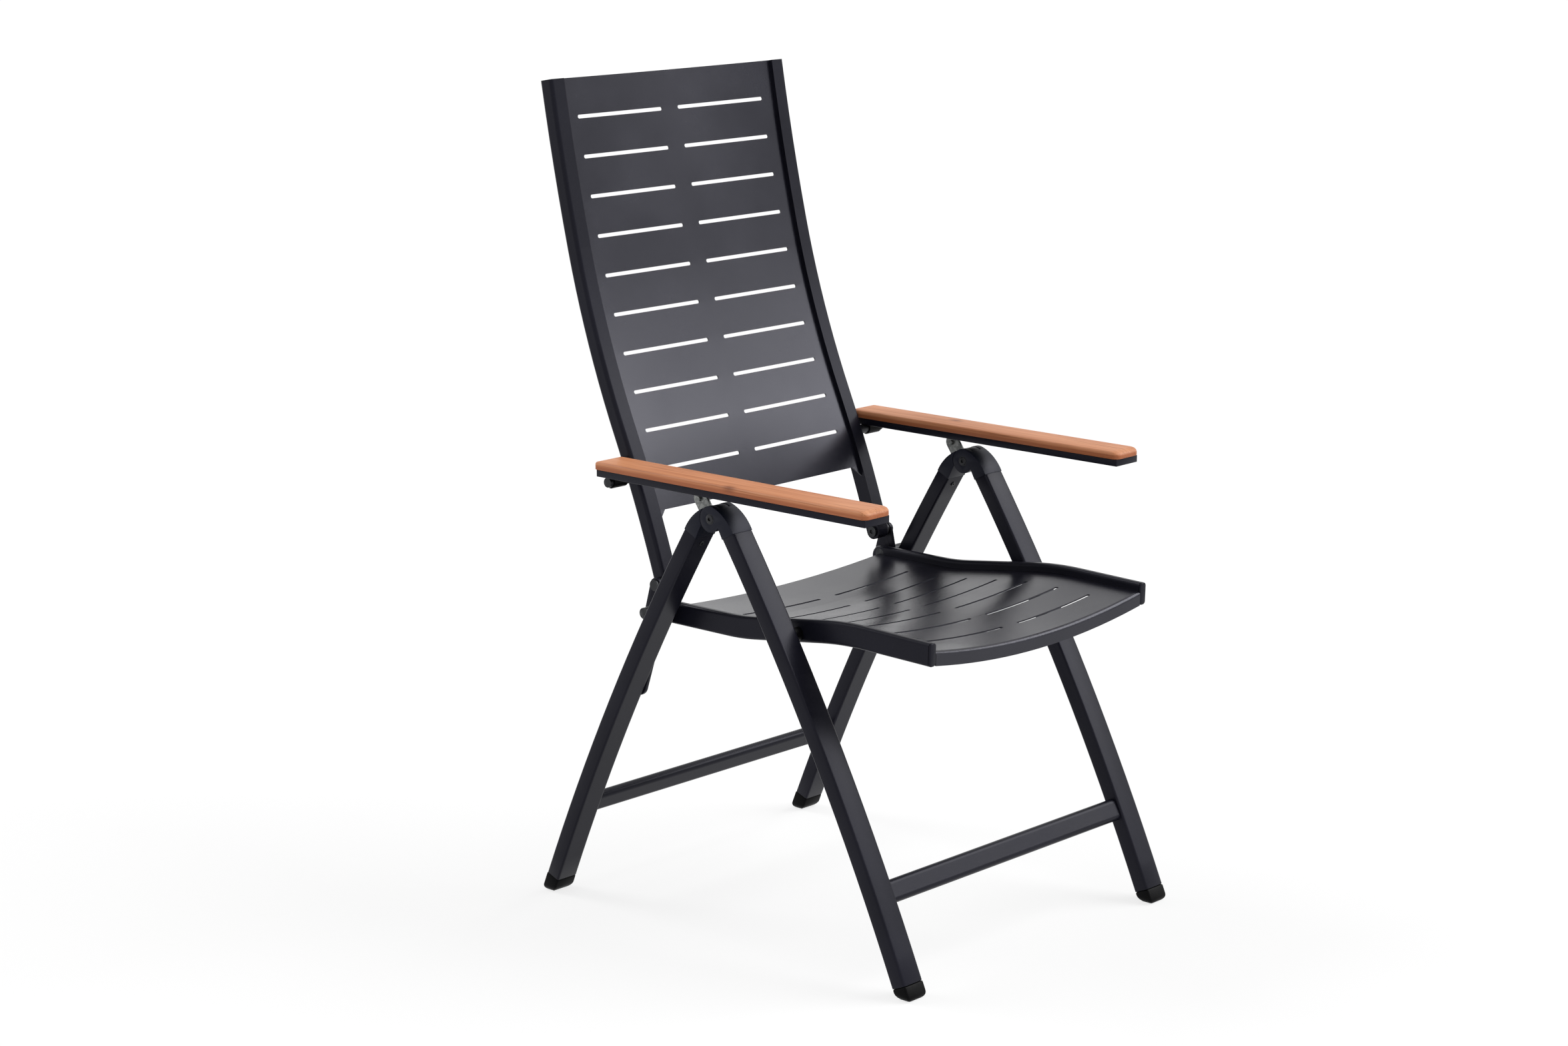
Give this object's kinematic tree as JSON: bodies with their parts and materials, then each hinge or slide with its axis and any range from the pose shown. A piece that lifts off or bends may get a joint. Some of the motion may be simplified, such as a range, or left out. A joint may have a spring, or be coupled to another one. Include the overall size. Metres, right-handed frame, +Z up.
{
  "type": "folding garden chair",
  "caption": "Folding garden armchair with a reclining slotted high back, a slotted seat, scissor legs that meet at arm height and wooden armrests.",
  "frame": {"origin": "on the floor, under the middle of the chair's bounding box", "axes": "+Z up, -Y the way the sitter looks, +X the sitter's left"},
  "size_m": [0.558, 0.6872, 1.1007],
  "materials": {
    "frame_coat": "satin powder coat on aluminium tube",
    "sheet_coat": "satin powder coat on slotted sheet",
    "knuckle_coat": "dark powder coat on castings",
    "galvanised": "mottled zinc coat",
    "dark_steel": "blackened fasteners",
    "plastic": "satin black caps and blocks",
    "timber": "oiled warm brown wood"
  },
  "bodies": {
    "rear_frame": {"rear_cross_rail": "frame_coat", "rear_leg_left": "frame_coat", "rear_leg_right": "frame_coat", "rear_foot_left": "plastic", "rear_foot_right": "plastic", "rear_knuckle_left": "knuckle_coat", "rear_knuckle_right": "knuckle_coat", "prop_plate_left": "galvanised", "prop_plate_right": "galvanised", "prop_pin_left": "galvanised", "prop_pin_right": "galvanised", "knuckle_bolt_left": "dark_steel", "knuckle_bolt_right": "dark_steel", "link_pin_left": "dark_steel", "link_pin_right": "dark_steel"},
    "front_frame": {"front_cross_rail": "frame_coat", "front_leg_left": "frame_coat", "front_leg_right": "frame_coat", "front_foot_left": "plastic", "front_foot_right": "plastic", "front_knuckle_left": "knuckle_coat", "front_knuckle_right": "knuckle_coat"},
    "link_left": {"link_plate_left": "frame_coat"},
    "link_right": {"link_plate_right": "frame_coat"},
    "seat": {"seat_panel": "sheet_coat", "seat_rail_left": "frame_coat", "seat_rail_right": "frame_coat", "seat_rail_cap_left": "frame_coat", "seat_rail_cap_right": "frame_coat", "seat_bolt_left": "dark_steel", "seat_bolt_right": "dark_steel", "seat_bush_left": "plastic", "seat_bush_right": "plastic"},
    "back": {"back_panel": "sheet_coat", "back_stile_left": "frame_coat", "back_stile_right": "frame_coat", "back_cap_left": "frame_coat", "back_cap_right": "frame_coat", "back_gusset_left": "sheet_coat", "back_gusset_right": "sheet_coat", "back_bolt_left": "dark_steel", "back_bolt_right": "dark_steel", "arm_bar_left": "dark_steel", "arm_bar_right": "dark_steel"},
    "arm_left": {"armrest_wood_left": "timber", "armrest_channel_left": "frame_coat", "armrest_rack_left": "frame_coat", "armrest_bearing_left": "plastic"},
    "arm_right": {"armrest_wood_right": "timber", "armrest_channel_right": "frame_coat", "armrest_rack_right": "frame_coat", "armrest_bearing_right": "plastic"}
  },
  "joints": [
    {"name": "fold", "type": "hinge", "parent": "rear_frame", "child": "front_frame", "pos_m": [0, -0.00438, 0.566], "axis": [1, 0, 0], "range_deg": [0, 50]},
    {"name": "link_swing_left", "type": "hinge", "parent": "rear_frame", "child": "link_left", "pos_m": [0, 0.16362, 0.311], "axis": [1, 0, 0], "range_deg": [-21, 0]},
    {"name": "link_swing_right", "type": "hinge", "parent": "rear_frame", "child": "link_right", "pos_m": [0, 0.16362, 0.311], "axis": [1, 0, 0], "range_deg": [-21, 0]},
    {"name": "seat_tilt", "type": "hinge", "parent": "link_left", "child": "seat", "pos_m": [0, 0.12412, 0.4197], "axis": [1, 0, 0], "range_deg": [-43, 0]},
    {"name": "back_fold", "type": "hinge", "parent": "link_left", "child": "back", "pos_m": [0, 0.12962, 0.452], "axis": [1, 0, 0], "range_deg": [0, 64]},
    {"name": "arm_fold_left", "type": "hinge", "parent": "back", "child": "arm_left", "pos_m": [0, 0.17862, 0.588], "axis": [1, 0, 0], "range_deg": [-107, 0]},
    {"name": "arm_fold_right", "type": "hinge", "parent": "back", "child": "arm_right", "pos_m": [0, 0.17862, 0.588], "axis": [1, 0, 0], "range_deg": [-107, 0]}
  ],
  "couplings": [
    {"joint": "link_swing_left", "follows": "fold", "ratio": -0.4},
    {"joint": "link_swing_right", "follows": "fold", "ratio": -0.4},
    {"joint": "seat_tilt", "follows": "fold", "ratio": -0.84},
    {"joint": "back_fold", "follows": "fold", "ratio": 1.26},
    {"joint": "arm_fold_left", "follows": "fold", "ratio": -2.12},
    {"joint": "arm_fold_right", "follows": "fold", "ratio": -2.12}
  ]
}
